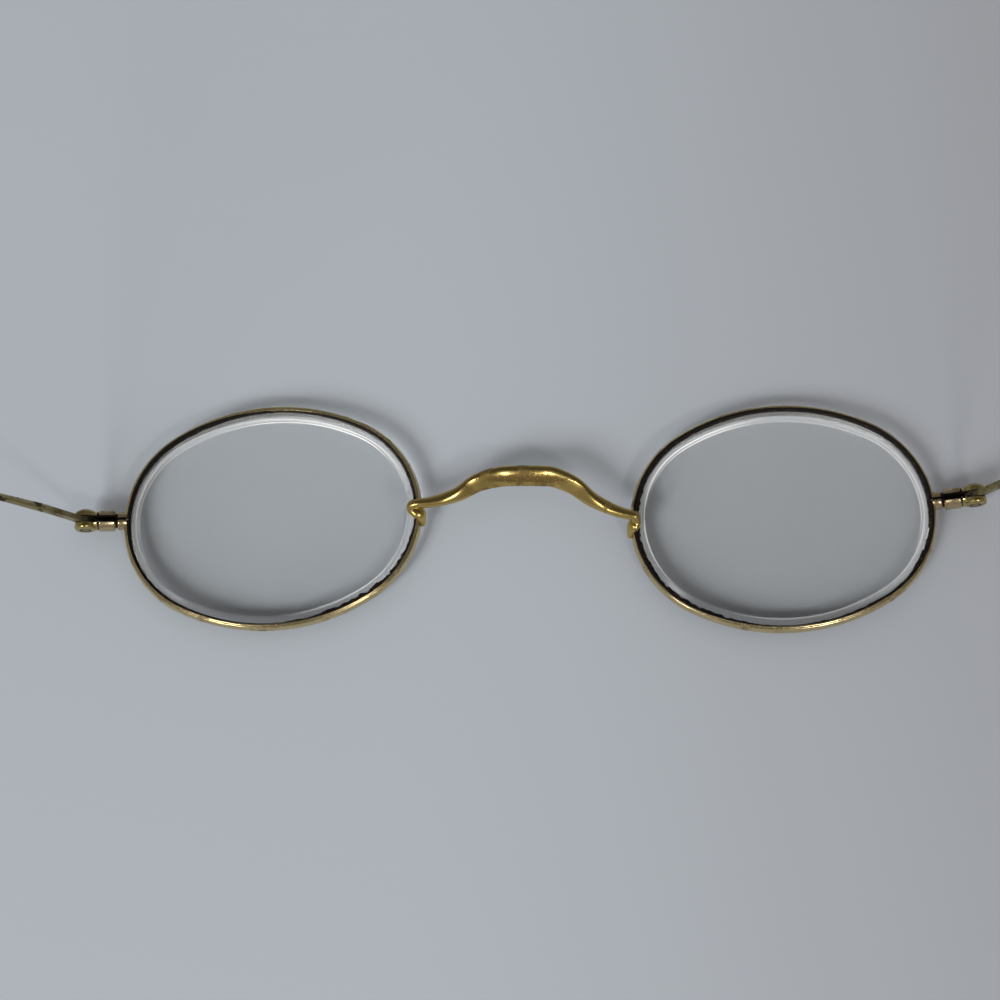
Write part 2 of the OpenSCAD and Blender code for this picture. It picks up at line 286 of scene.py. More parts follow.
def finish_piece(piece, body, material, angle=35.0, replaces=()):
    """Smooths a modelled piece, gives it its material and fixes it to its body"""
    activate(piece)
    bpy.ops.object.transform_apply(location=True, rotation=True, scale=True)
    bpy.ops.object.shade_smooth_by_angle(angle=math.radians(angle))
    piece.data.materials.clear()
    piece.data.materials.append(material)
    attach(piece, body)
    if replaces:
        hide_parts(*replaces)
    return piece


def open_ring(piece):
    """Takes out the edge that closes a ring, and selects what is left"""
    bm = bmesh.from_edit_mesh(piece.data)
    bm.verts.ensure_lookup_table()
    first, last = bm.verts[0], bm.verts[len(bm.verts) - 1]
    for edge in list(last.link_edges):
        if edge.other_vert(last) == first:
            bm.edges.remove(edge)
    bmesh.update_edit_mesh(piece.data)
    bpy.ops.mesh.select_all(action="SELECT")


def spin_round(oval, steps):
    """Spins what is selected round the oval's four arcs"""
    tight, flat = 2 * oval.join, math.pi - 2 * oval.join
    for centre, angle, count in (
        ((oval.end_x, 0, 0), tight, steps[0]),
        ((0, -oval.flat_y, 0), flat, steps[1]),
        ((-oval.end_x, 0, 0), tight, steps[0]),
        ((0, oval.flat_y, 0), flat, steps[1]),
    ):
        bpy.ops.mesh.spin(steps=count, angle=angle, center=centre, axis=(0, 0, -1))


def sweep_round_oval(name, section, oval, steps=(44, 26)):
    """Carries a closed section, given as outward offset and height, round the whole oval"""
    piece = start_ring(name, oval.start_points(section))
    spin_round(oval, steps)
    close_up()
    return piece


def close_up(distance=0.002 * MM):
    """Merges the active piece's doubles and turns its faces outwards"""
    bpy.ops.object.mode_set(mode="EDIT")
    bpy.ops.mesh.select_all(action="SELECT")
    bpy.ops.mesh.remove_doubles(threshold=distance)
    bpy.ops.mesh.normals_make_consistent(inside=False)
    bpy.ops.object.mode_set(mode="OBJECT")


def sweep_rings(name, rings):
    """Extrudes a closed ring through all the given rings and caps both ends"""
    piece = start_ring(name, rings[0])
    bpy.ops.mesh.edge_face_add()
    for ring in rings[1:]:
        bpy.ops.mesh.extrude_region_move()
        place_selected(piece, ring)
    bpy.ops.mesh.select_all(action="SELECT")
    bpy.ops.mesh.normals_make_consistent(inside=False)
    bpy.ops.object.mode_set(mode="OBJECT")
    return piece


def put(piece, matrix):
    """Moves a piece to its place, in its mesh"""
    piece.matrix_world = matrix
    activate(piece)
    bpy.ops.object.transform_apply(location=True, rotation=True, scale=True)


def cut_with_box(piece, low, high):
    """Cuts a box out of a piece"""
    deselect_all()
    centre = [(a + b) / 2 for a, b in zip(low, high)]
    bpy.ops.mesh.primitive_cube_add(size=1, location=centre)
    cutter = bpy.context.object
    cutter.scale = [b - a for a, b in zip(low, high)]
    bpy.ops.object.transform_apply(location=True, rotation=True, scale=True)
    take_away(piece, cutter)


def take_away(piece, cutter, operation="DIFFERENCE"):
    activate(piece)
    change = piece.modifiers.new("cut", "BOOLEAN")
    change.operation = operation
    change.object = cutter
    change.solver = "EXACT"
    bpy.ops.object.modifier_apply(modifier=change.name)
    bpy.data.objects.remove(cutter)


def store(piece, name, value):
    """Stores a value of each point under a name that the material reads"""
    values = piece.data.attributes.new(name, "FLOAT", "POINT")
    for vertex in piece.data.vertices:
        values.data[vertex.index].value = value(vertex.co)


def outside_of(oval, matrix):
    """How far a point lies outside an eye wire's inner edge, in millimetres"""
    inverse = matrix.inverted()

    def distance(point):
        local = inverse @ point
        return oval.outside(local.x, local.y) / MM

    return distance


# ---- material helpers


class Nodes:
    """Short hand for building one node tree"""

    def __init__(self, tree):
        self.tree = tree
        tree.nodes.clear()

    def add(self, kind, inputs=None, **settings):
        node = self.tree.nodes.new(kind)
        for key, value in settings.items():
            setattr(node, key, value)
        for key, value in (inputs or {}).items():
            if isinstance(value, bpy.types.NodeSocket):
                self.tree.links.new(value, node.inputs[key])
            else:
                node.inputs[key].default_value = value
        return node

    def link(self, a, b):
        self.tree.links.new(a, b)

    def math(self, operation, a, b=0.0, clamp=False):
        return self.add("ShaderNodeMath", {0: a, 1: b}, operation=operation, use_clamp=clamp).outputs[0]

    def ramp(self, value, low, high, to_low=0.0, to_high=1.0):
        """Maps a range smoothly onto another"""
        node = self.add(
            "ShaderNodeMapRange",
            {"Value": value, "From Min": low, "From Max": high, "To Min": to_low, "To Max": to_high},
            interpolation_type="SMOOTHSTEP",
        )
        return node.outputs["Result"]

    def mix(self, factor, a, b):
        node = self.add("ShaderNodeMix", data_type="RGBA")
        for socket, value in ((node.inputs[0], factor), (node.inputs[6], a), (node.inputs[7], b)):
            if isinstance(value, bpy.types.NodeSocket):
                self.link(value, socket)
            else:
                socket.default_value = value if isinstance(value, float) else rgba(value)
        return node.outputs[2]

    def dot(self, a, b):
        node = self.add("ShaderNodeVectorMath", {0: a, 1: tuple(b)}, operation="DOT_PRODUCT")
        return node.outputs["Value"]

    def bump(self, height, strength, distance):
        """Normal of a surface with fine relief; distance in metres"""
        inputs = {"Height": height, "Strength": strength, "Distance": distance}
        return self.add("ShaderNodeBump", inputs).outputs["Normal"]

    def show(self, shader, kind="Material"):
        self.link(shader.outputs[0], self.add(f"ShaderNodeOutput{kind}").inputs["Surface"])

    def noise(self, place, scale, detail=3.0, roughness=0.6):
        return self.add(
            "ShaderNodeTexNoise",
            {"Vector": place, "Scale": scale, "Detail": detail, "Roughness": roughness},
        ).outputs["Fac"]


def rgba(value):
    value = tuple(value)
    return value if len(value) == 4 else (*value, 1.0)


def new_material(name):
    material = bpy.data.materials.new(name)
    material.use_nodes = True
    return material, Nodes(material.node_tree)


def new_group(name, inputs, outputs):
    group = bpy.data.node_groups.new(name, "ShaderNodeTree")
    for label, kind, value in inputs:
        socket = group.interface.new_socket(label, in_out="INPUT", socket_type=kind)
        if value is not None:
            socket.default_value = value
    for label, kind in outputs:
        group.interface.new_socket(label, in_out="OUTPUT", socket_type=kind)
    nodes = Nodes(group)
    return group, nodes, nodes.add("NodeGroupInput"), nodes.add("NodeGroupOutput")


def tarnish_group():
    """Patches of tarnish, fine specks in it, and a worn surface height"""
    if "Tarnish" in bpy.data.node_groups:
        return bpy.data.node_groups["Tarnish"]
    group, n, given, out = new_group(
        "Tarnish",
        [
            ("Position", "NodeSocketVector", None),
            ("Patch size (per m)", "NodeSocketFloat", 500.0),
            ("Amount", "NodeSocketFloat", 0.4),
            ("Speck size (per m)", "NodeSocketFloat", 6000.0),
            ("Speck amount", "NodeSocketFloat", 0.3),
        ],
        [("Patches", "NodeSocketFloat"), ("Specks", "NodeSocketFloat"), ("Height", "NodeSocketFloat")],
    )
    place = given.outputs["Position"]
    patches = n.noise(place, given.outputs["Patch size (per m)"], 4.0, 0.62)
    level = n.math("SUBTRACT", 0.78, n.math("MULTIPLY", given.outputs["Amount"], 0.56))
    soft = n.math("SUBTRACT", patches, level)
    n.link(n.ramp(soft, -0.07, 0.07), out.inputs["Patches"])
    specks = n.noise(place, given.outputs["Speck size (per m)"], 2.0, 0.7)
    speck_level = n.math("SUBTRACT", 0.8, n.math("MULTIPLY", given.outputs["Speck amount"], 0.5))
    n.link(n.ramp(n.math("SUBTRACT", specks, speck_level), -0.03, 0.05), out.inputs["Specks"])
    fine = n.math("MULTIPLY", given.outputs["Patch size (per m)"], 5.0)
    n.link(n.noise(place, fine, 3.0, 0.5), out.inputs["Height"])
    return group


def metal_material(name, bright, dark, roughness, amount, specks, patch, dirt=None):
    """Old gold-coloured metal with brown tarnish

    bright, amount and specks may be functions that add nodes, and dirt adds a mask of dirt, which on the eye
    wires also holds painted shade."""
    material, n = new_material(name)
    place = n.add("ShaderNodeTexCoord").outputs["Object"]
    bright, amount, specks = (v(n, place) if callable(v) else v for v in (bright, amount, specks))
    aged = n.add(
        "ShaderNodeGroup",
        {
            "Position": place,
            "Patch size (per m)": patch,
            "Amount": amount,
            "Speck size (per m)": 5200.0,
            "Speck amount": specks,
        },
        node_tree=tarnish_group(),
    )
    patches = n.math("MULTIPLY", aged.outputs["Patches"], 0.75)
    mask = n.math("MAXIMUM", patches, n.math("MULTIPLY", aged.outputs["Specks"], 0.85))
    tone = n.mix(n.math("MULTIPLY", n.noise(place, 260.0, 2.0), 0.3), n.mix(mask, bright, dark), dark)
    rough = n.ramp(mask, 0.0, 1.0, roughness, 0.5)
    metallic = n.ramp(mask, 0.0, 1.0, 1.0, 0.7)
    if dirt is not None:
        covered = dirt(n, place)
        tone = n.mix(covered, tone, metals().grime)
        rough = n.ramp(covered, 0.0, 1.0, rough, 0.75)
        metallic = n.math("MULTIPLY", metallic, n.math("SUBTRACT", 1.0, covered))
    normal = n.bump(aged.outputs["Height"], 0.3, 0.02 * MM)
    shader = n.add(
        "ShaderNodeBsdfPrincipled",
        {"Base Color": tone, "Roughness": rough, "Metallic": metallic, "Normal": normal},
    )
    shader.inputs["Specular IOR Level"].default_value = 0.12
    n.show(shader)
    return material


def creeping(n, place, distance, wave=0.12):
    """Mask of dirt up to a distance in millimetres, with a ragged edge; on the eye wires the mask also paints
    shade
    """
    ragged = n.math("MULTIPLY", n.math("SUBTRACT", n.noise(place, 1300.0, 5.0, 0.65), 0.5), 2 * wave)
    return n.ramp(n.math("ADD", distance, ragged), 0.02, -0.03)


def attribute(n, name):
    """A value that store() has put on each point"""
    return n.add("ShaderNodeAttribute", attribute_name=name, attribute_type="GEOMETRY").outputs["Fac"]


def along(n, place, point, direction):
    """Distance in millimetres of the shaded point from a point, along a direction"""
    offset = n.add("ShaderNodeVectorMath", {0: place, 1: tuple(point)}, operation="SUBTRACT").outputs[0]
    return n.math("MULTIPLY", n.dot(offset, direction), 1 / MM)


# ---- materials


def rim_material():
    """Rubbed gold wire with a dark band creeping onto it from the lens: old dirt, and painted shade where the
    wire's inner side lies in shadow
    """
    m = metals()

    # Painted shade: this band is partly old dirt and partly the shade that falls on the wire's inner side
    def dirt(n, place):
        return creeping(n, place, attribute(n, "clear_of_dirt_and_shade_mm"), 0.09)

    return metal_material("rim_metal", m.worn_gold, m.tarnish, 0.2, 0.36, 0.34, 380.0, dirt)


def bridge_material():
    """Polished gold, browner at the middle and left end of the crest, with specks along its edge"""
    m = metals()

    def amount(n, place):
        return n.math("ADD", n.math("MULTIPLY", attribute(n, "brown"), 0.24), 0.34)

    def specks(n, place):
        return n.math("ADD", n.math("MULTIPLY", attribute(n, "chine"), 0.74), 0.18)

    return metal_material("bridge_metal", m.gold, m.dark_tarnish, 0.24, amount, specks, 330.0)


def endpiece_material(name):
    """Satin metal with yellow ears, and dirt in the split, in the grooves and round the joint's screw"""
    m = metals()
    frame_at = endpiece_matrix(SIDES[name])
    seam = frame_at.translation
    outward, rise, depth = frame_at.to_3x3().col
    hinge = hinge_place(name)

    def bright(n, place):
        return n.mix(n.ramp(along(n, place, seam, outward), 3.1, 3.7), m.satin, m.ear_gold)

    def dirt(n, place):
        out = along(n, place, seam, outward)
        off_seam = n.math("ABSOLUTE", along(n, place, seam, rise))
        reach = n.ramp(out, 0.85, 1.1, 0.2, 0.47)
        across = along(n, place, hinge, outward)
        deep = along(n, place, hinge, depth)
        squares = n.math("ADD", n.math("MULTIPLY", across, across), n.math("MULTIPLY", deep, deep))
        off_axis = n.math("SQRT", squares)
        not_on_end = n.math("SUBTRACT", 1.0, n.ramp(off_seam, 1.1, 1.2))
        hole = n.math("SUBTRACT", n.math("ADD", off_axis, n.math("MULTIPLY", not_on_end, 9.0)), 0.72)
        off_collar, off_ear = (n.math("ABSOLUTE", n.math("SUBTRACT", out, groove)) for groove in (0.95, 3.24))
        grooves = n.math("MINIMUM", off_collar, off_ear)
        wedge = n.math("SUBTRACT", grooves, n.ramp(off_seam, 0.2, 1.3, 0.2, 0.04))
        crept = n.math("MINIMUM", n.math("SUBTRACT", off_seam, reach), n.math("MINIMUM", hole, wedge))
        return creeping(n, place, crept, 0.06)

    return metal_material(f"{name}_endpiece_metal", bright, m.tarnish, 0.24, 0.4, 0.3, 700.0, dirt)


def temple_material(name):
    """Dull wire that has gone black in patches, and round the joint"""
    m = metals()
    hinge = hinge_place(name)
    near_stain, stain_level = (0.2, 0.50) if name == "left" else (0.7, 0.42)

    def dirt(n, place):
        height = along(n, place, hinge, (0, 0, 1))
        worn = n.ramp(n.noise(place, 1100.0, 4.0, 0.6), 0.34, 0.5, 0.45, 1.0)
        joint = n.math("MULTIPLY", n.ramp(height, 2.1, 1.0), worn)
        drawn = n.add("ShaderNodeVectorMath", {0: place, 1: (1.0, 1.0, 0.2)}, operation="MULTIPLY").outputs[0]
        stain = n.ramp(n.noise(drawn, 950.0, 4.0, 0.6), stain_level, 0.58)
        wire = n.math("MULTIPLY", stain, n.ramp(height, 3.0, 7.0, near_stain, 0.92))
        return n.math("MAXIMUM", joint, wire)

    return metal_material(f"{name}_temple_metal", m.olive, m.tarnish, 0.3, 0.45, 0.35, 260.0, dirt)


def screw_material():
    """Dark old steel, mostly hidden in the joint"""
    m = metals()
    return metal_material("screw_metal", m.olive, m.grime, 0.35, 0.5, 0.5, 900.0)


def grime_material():
    """Black-brown dirt with a few brown and gold flecks"""
    m = metals()
    material, n = new_material("edge_grime")
    place = n.add("ShaderNodeTexCoord").outputs["Object"]
    flecks = n.ramp(n.noise(place, 2600.0, 3.0, 0.7), 0.6, 0.72)
    base = n.mix(flecks, m.grime, m.fleck)
    height = n.noise(place, 3800.0, 4.0, 0.7)
    rough = n.ramp(height, 0.3, 0.7, 0.6, 0.9)
    normal = n.bump(height, 0.7, 0.08 * MM)
    shader = n.add("ShaderNodeBsdfPrincipled", {"Base Color": base, "Roughness": rough, "Normal": normal})
    shader.inputs["Specular IOR Level"].default_value = 0.15
    n.show(shader)
    return material


def glass_material():
    """Clear glass, faintly grey, with a ground edge inside the wire and a painted highlight, a thin white
    line, just inside that edge
    """
    g = glasses()
    s = sizes()
    material, n = new_material("lens_glass")
    place = n.add("ShaderNodeTexCoord").outputs["Object"]
    edge = attribute(n, "edge_mm")
    ground = n.ramp(edge, -s.ground_width / MM - 0.02, -s.ground_width / MM + 0.03)
    grain = n.noise(place, 4200.0, 3.0, 0.7)
    smear = n.ramp(n.noise(place, 90.0, 4.0, 0.6), 0.45, 0.75, 0.0, 0.05)
    rough = n.math("ADD", n.math("MULTIPLY", ground, g.ground_roughness), smear)
    normal = n.bump(n.math("MULTIPLY", grain, ground), 0.25, 0.02 * MM)
    tint = n.mix(ground, g.tint, g.ground_tint)
    shader = n.add(
        "ShaderNodeBsdfPrincipled",
        {
            "Base Color": tint,
            "Roughness": rough,
            "Metallic": 0.0,
            "IOR": 1.52,
            "Transmission Weight": 1.0,
            "Normal": normal,
        },
    )
    frost_and_glint = n.add("ShaderNodeBsdfDiffuse", {"Color": rgba(g.frost_and_glint)})
    whitened = n.math("MULTIPLY", ground, n.math("MULTIPLY", grain, 2 * g.ground_white))
    # Painted highlight: a thin white line inside the ground edge stands in for light mirrored in the bevel,
    # as strong round each lens as its stored values say
    off_line = n.math("ABSOLUTE", n.math("ADD", edge, s.ground_width / MM - 0.12))
    painted_glint = n.math("MULTIPLY", n.ramp(off_line, 0.16, 0.04), attribute(n, "painted_glint"))
    whitened = n.math("MAXIMUM", whitened, n.math("MULTIPLY", painted_glint, 0.95))
    frosted = n.add("ShaderNodeMixShader", {0: whitened, 1: shader.outputs[0], 2: frost_and_glint.outputs[0]})
    through = n.add("ShaderNodeBsdfTransparent", {"Color": rgba(g.shadow_tint)})
    shadow = n.add("ShaderNodeLightPath").outputs["Is Shadow Ray"]
    mixed = n.add("ShaderNodeMixShader", {0: shadow, 1: frosted.outputs[0], 2: through.outputs[0]})
    n.show(mixed)
    return material


# ---- operators


class EYEGLASS_OT_eye_wires(bpy.types.Operator):
    """Makes the two grooved eye wires"""

    bl_idname = "eyeglass.eye_wires"
    bl_label = "Eye wires"

    # Groove first, then round the back and down the outside: outward offset and height, in mm
    section = [
        (0.38, 0.0), (0.0, 0.45), (0.0, 0.78), (0.05, 0.85), (0.15, 0.88), (0.26, 0.85), (0.32, 0.785),
        (0.37, 0.78), (0.44, 0.755), (0.54, 0.65), (0.64, 0.47), (0.71, 0.25), (0.75, 0.0), (0.71, -0.25),
        (0.64, -0.47), (0.54, -0.65), (0.42, -0.78), (0.27, -0.85), (0.12, -0.87), (0.04, -0.85),
        (0.0, -0.78), (0.0, -0.45),
    ]

    def execute(self, context):
        s = sizes()
        oval = Oval()
        material = rim_material()
        section = [(out * MM, oval.mid_z + z * MM) for out, z in self.section]
        for name, side in SIDES.items():
            piece = sweep_round_oval(f"{name}_eye_wire", section, oval)
            rise = side * SPLIT_RISE
            cut_with_box(
                piece,
                (oval.half_width - MM, rise - s.split_gap / 2, 0),
                (oval.half_width + 2 * MM, rise + s.split_gap / 2, 5 * MM),
            )
            matrix = side_matrix(side)
            put(piece, matrix)
            outside = outside_of(oval, matrix)
            # Painted shade: the dark band on each wire is partly old dirt and partly shade on the wire's
            # inner side
            wire_dirt_and_shade = DIRT_AND_SHADE_ON_WIRE[name]
            store(piece, "clear_of_dirt_and_shade_mm", lambda p: outside(p) - round_oval(wire_dirt_and_shade, angle_round(name, p)))
            finish_piece(piece, "front", material, 40.0, [f"{name}_rim"])
        return {"FINISHED"}


class EYEGLASS_OT_lenses(bpy.types.Operator):
    """Makes the two lenses with their ground edges"""

    bl_idname = "eyeglass.lenses"
    bl_label = "Lenses"

    # Heights in mm that stand for rows until shape() gives them their real ones
    back_edge, front_edge, back_dome, front_dome = 10, 20, 50, 90
    steps = (60, 36)

    def execute(self, context):
        s = sizes()
        oval = Oval()
        material = glass_material()
        inner = -s.ground_width
        back = [inner - 0.12 * MM, inner, -0.85 * MM, -0.4 * MM, 0.0, s.edge_in]
        front = [0.05 * MM, -0.25 * MM, -0.5 * MM]
        section = [(out, (self.back_edge + i) * MM) for i, out in enumerate(back)]
        section += [(out, (self.front_edge + i) * MM) for i, out in enumerate(front)]
        for name, side in SIDES.items():
            piece = self.band(f"{name}_lens_glass", section, oval)
            self.dome(piece, self.back_edge, self.back_dome)
            self.dome(piece, self.front_edge + len(front) - 1, self.front_dome)
            self.shape(piece, oval)
            close_up()
            matrix = side_matrix(side)
            put(piece, matrix)
            store(piece, "edge_mm", outside_of(oval, matrix))
            # Painted highlight: how strong the white line of mirrored light is round this lens
            painted_glint = PAINTED_GLINT[name]
            store(piece, "painted_glint", lambda p: round_oval(painted_glint, angle_round(name, p)))
            finish_piece(piece, "front", material, 18.0, [f"{name}_lens"])
        return {"FINISHED"}

    def band(self, name, section, oval):
        """Carries the open edge section round the oval"""
        piece = start_ring(name, oval.start_points(section))
        open_ring(piece)
        spin_round(oval, self.steps)
        bpy.ops.mesh.select_all(action="SELECT")
        bpy.ops.mesh.remove_doubles(threshold=0.002 * MM)
        return piece

    def dome(self, piece, code, new_code):
        """Fills the loop of one row with smaller and smaller loops"""
        bpy.ops.mesh.select_all(action="DESELECT")
        bpy.ops.mesh.select_mode(type="EDGE")
        bm = bmesh.from_edit_mesh(piece.data)
        for edge in bm.edges:
            edge.select_set(all(abs(v.co.z - code * MM) < 0.1 * MM for v in edge.verts))
        bmesh.update_edit_mesh(piece.data)
        shares = [0.985, 0.96, 0.92, 0.86, 0.78, 0.69, 0.59, 0.48, 0.36, 0.24, 0.12]
        size = 1.0
        for share_left in shares:
            shrink = share_left / size
            bpy.ops.mesh.extrude_edges_move()
            bpy.ops.transform.resize(value=(shrink, shrink, 1), center_override=(0, 0, 0))
            bm = bmesh.from_edit_mesh(piece.data)
            for vertex in bm.verts:
                if vertex.select:
                    vertex.co.z = new_code * MM
            bmesh.update_edit_mesh(piece.data)
            size = share_left
        bpy.ops.mesh.extrude_edges_move()
        bpy.ops.mesh.merge(type="CENTER")
        bpy.ops.mesh.select_mode(type="VERT")

    def shape(self, piece, oval):
        """Turns the heights that stand for rows into real ones"""
        bm = bmesh.from_edit_mesh(piece.data)
        s = sizes()
        for vertex in bm.verts:
            code = round(vertex.co.z / MM)
            r = math.hypot(vertex.co.x, vertex.co.y)
            if code == self.front_dome:
                vertex.co.z = front_height(r)
            elif code == self.back_dome:
                vertex.co.z = back_height(r)
            elif code >= self.front_edge:
                t = (code - self.front_edge + 1) / 3
                vertex.co.z = oval.mid_z + (front_height(r) - oval.mid_z) * t
            elif code == self.back_edge:
                vertex.co.z = back_height(r)
            else:
                out = oval.outside(vertex.co.x, vertex.co.y)
                t = (s.edge_in - out) / (s.edge_in + s.ground_width)
                back = back_height(max(r - (out + s.ground_width), 0)) - 0.05 * MM
                vertex.co.z = oval.mid_z + (back - oval.mid_z) * t
        bmesh.update_edit_mesh(piece.data)
        bpy.ops.object.mode_set(mode="OBJECT")


class EYEGLASS_OT_edge_grime(bpy.types.Operator):
    """Makes the crust of old dirt where each lens meets its wire"""

    bl_idname = "eyeglass.edge_grime"
    bl_label = "Edge grime"

    full_reach = 0.42  # mm that the section below stands onto the lens
    section = [
        (0.06, 0.2), (0.06, 0.66), (-0.02, 0.70), (-0.14, 0.62), (-0.3, 0.5), (-0.42, 0.36), (-0.42, 0.2),
    ]

    def execute(self, context):
        oval = Oval()
        material = grime_material()
        section = [(out * MM, oval.mid_z + z * MM) for out, z in self.section]
        for name, side in SIDES.items():
            piece = sweep_round_oval(f"{name}_edge_grime", section, oval, (170, 110))
            matrix = side_matrix(side)
            put(piece, matrix)
            self.roughen(piece, oval, matrix, name)
            finish_piece(piece, "front", material, 60.0)
        return {"FINISHED"}

    def roughen(self, piece, oval, matrix, name):
        """Gives the bead its width round the lens, a wavy inner edge and a crusty surface"""
        inverse = matrix.inverted()
        for vertex in piece.data.vertices:
            local = inverse @ vertex.co
            out = oval.outside(local.x, local.y) / MM
            if out > 0.02:
                continue
            reach = round_oval(DIRT_ON_LENS[name], angle_round(name, vertex.co)) / self.full_reach
            slow = noise.noise(vertex.co / (1.9 * MM))
            quick = noise.noise(vertex.co / (0.4 * MM) + Vector((7, 3, 1)))
            reach *= 1.0 + 0.35 * slow + (0.25 + 0.45 * reach) * quick
            reach = max(reach, 0.06)
            direction = Vector((local.x / oval.half_width, local.y / oval.half_height, 0)).normalized()
            local -= direction * (-out) * (reach - 1.0) * MM
            local.z += 0.06 * MM * quick
            vertex.co = matrix @ local


class EYEGLASS_OT_bridge(bpy.types.Operator):
    """Makes the saddle bridge with its two shanks and feet"""

    bl_idname = "eyeglass.bridge"
    bl_label = "Bridge"

    # Sections across the bridge, from its top edge down the front: height and depth, as shares of
    # half the height and half the depth
    crest = [
        (1.00, 0.00), (0.99, 0.28), (0.95, 0.55), (0.88, 0.78), (0.76, 0.94), (0.60, 1.00), (0.38, 0.95),
        (0.12, 0.81), (-0.18, 0.56), (-0.52, 0.20), (-0.66, -0.08), (-0.84, -0.46), (-0.92, -0.64),
        (-0.93, -0.80), (-0.84, -0.92), (-0.60, -0.98), (-0.30, -1.00), (0.00, -1.00), (0.30, -0.97),
        (0.60, -0.86), (0.82, -0.64), (0.95, -0.34),
    ]
    flank = [
        (1.00, 0.00), (0.99, 0.25), (0.95, 0.50), (0.88, 0.70), (0.80, 0.84), (0.71, 0.93), (0.62, 0.98),
        (0.54, 1.00), (0.46, 0.99), (0.38, 0.95), (-0.10, 0.40), (-0.55, -0.16), (-0.80, -0.46),
        (-0.92, -0.68), (-0.86, -0.85), (-0.66, -0.95), (-0.36, -1.00), (0.00, -1.00), (0.36, -0.97),
        (0.66, -0.84), (0.86, -0.62), (0.97, -0.32),
    ]
    chine = 9  # the point on the edge between the front and the facet under it
    wire = [math.radians(12.2 * k if k <= 9 else 110 + (k - 9) * 250 / 13) for k in range(22)]
    # Brown spots along the crest: place and width in mm, and amount
    brown_spots = ((-0.2, 1.2, 1.0), (-4.9, 1.0, 0.8), (3.6, 1.0, 0.3))

    def execute(self, context):
        rings = self.rings(-1)[::-1] + self.rings(1)[1:]
        piece = sweep_rings("saddle_bridge", rings)
        count = len(self.crest)
        near = [math.exp(-((k - self.chine + 0.6) ** 2) / 2.5) for k in range(count)]
        wear = piece.data.attributes.new("chine", "FLOAT", "POINT")
        for i, vertex in enumerate(piece.data.vertices):
            crest_share = max(0.0, 1.0 - (abs(vertex.co.x) / (7.5 * MM)) ** 4)
            wear.data[i].value = near[i % count] * crest_share
        store(piece, "brown", self.brown)
        finish_piece(piece, "front", bridge_material(), 38.0, ["bridge"])
        return {"FINISHED"}

    def brown(self, point):
        """How brown the bridge is at a point"""
        return sum(much * math.exp(-(((point.x / MM - x) / wide) ** 2)) for x, wide, much in self.brown_spots)

    def stations(self, side):
        """Stations from the crest to a foot: x, y, z, half height, half depth, in mm, and section

        The section goes from the crest's at 0 to the flank's at 1 and the round wire's at 1.3."""
        crest_y, crest_half, crest_h, crest_d = 4.85, 3.6, 2.62, 1.72
        shank_r, shank_y, foot_drop, slope = 0.625, 0.4, 1.85, 0.08
        nasal = (sizes().lens_distance - sizes().eye_width) / 2 / MM
        mid = Oval().mid_z / MM
        z = mid + 2.1
        flank_h, flank_d = crest_h / 2 - shank_r, crest_d / 2 - shank_r
        fy, fx = crest_y - shank_y, nasal - crest_half
        corner = 1.2 if side < 0 else 0.72
        turn = sizes().oval_turn
        end_x, end_r = Oval().end_x / MM, sizes().end_radius / MM
        foot_y = -foot_drop - side * slope * (nasal - crest_half)
        foot_x = (
            sizes().lens_distance / 2 / MM
            - end_x * math.cos(turn)
            - math.sqrt(end_r**2 - (foot_y + side * end_x * math.sin(turn)) ** 2)
        )
        rows = [
            (0, crest_y, z - 0.06, crest_h / 2, crest_d / 2 - 0.12, 0.0),
            (0.55 * crest_half, crest_y - 0.012 * fy, z + 0.03, crest_h / 2, crest_d / 2 - 0.06, 0.0),
            (crest_half, crest_y - 0.06 * fy, z + 0.18, crest_h / 2 - 0.04, crest_d / 2, 0.1),
        ]
        for out, down, lift, high, deep, section in (
            (0.26, 0.26, 0.08, 0.76, 0.8, 0.82),
            (0.49, 0.61, 0.04, 0.46, 0.6, 1.14),
            (0.73, 0.84, 0.0, 0.25, 0.4, 1.3),
            (0.9, 0.95, 0.0, 0.1, 0.15, 1.3),
        ):
            place = (crest_half + out * fx, crest_y - down * fy, z + lift)
            rows.append((*place, shank_r + high * flank_h, shank_r + deep * flank_d, section))
        rows += [
            (nasal + 0.35, shank_y, z, shank_r, shank_r, 1.3),
            (nasal + corner - 0.07, shank_y - 0.22, z - 0.2, shank_r - 0.02, shank_r - 0.02, 1.3),
            (nasal + corner, shank_y - 0.6, z - 0.6, shank_r - 0.02, shank_r + 0.06, 1.3),
            (foot_x + 0.16, shank_y - 1.1, mid + 0.85 + 0.32, 0.6, 0.88, 1.3),
            (foot_x - 0.12, shank_y - 1.7, mid + 0.85 - 0.28, 0.46, 0.56, 1.3),
            (foot_x - 0.22, -foot_drop - 0.1, mid + 0.1, 0.26, 0.24, 1.3),
        ]
        return [(side * x, y - side * slope * max(0.0, x - crest_half), *rest) for x, y, *rest in rows]

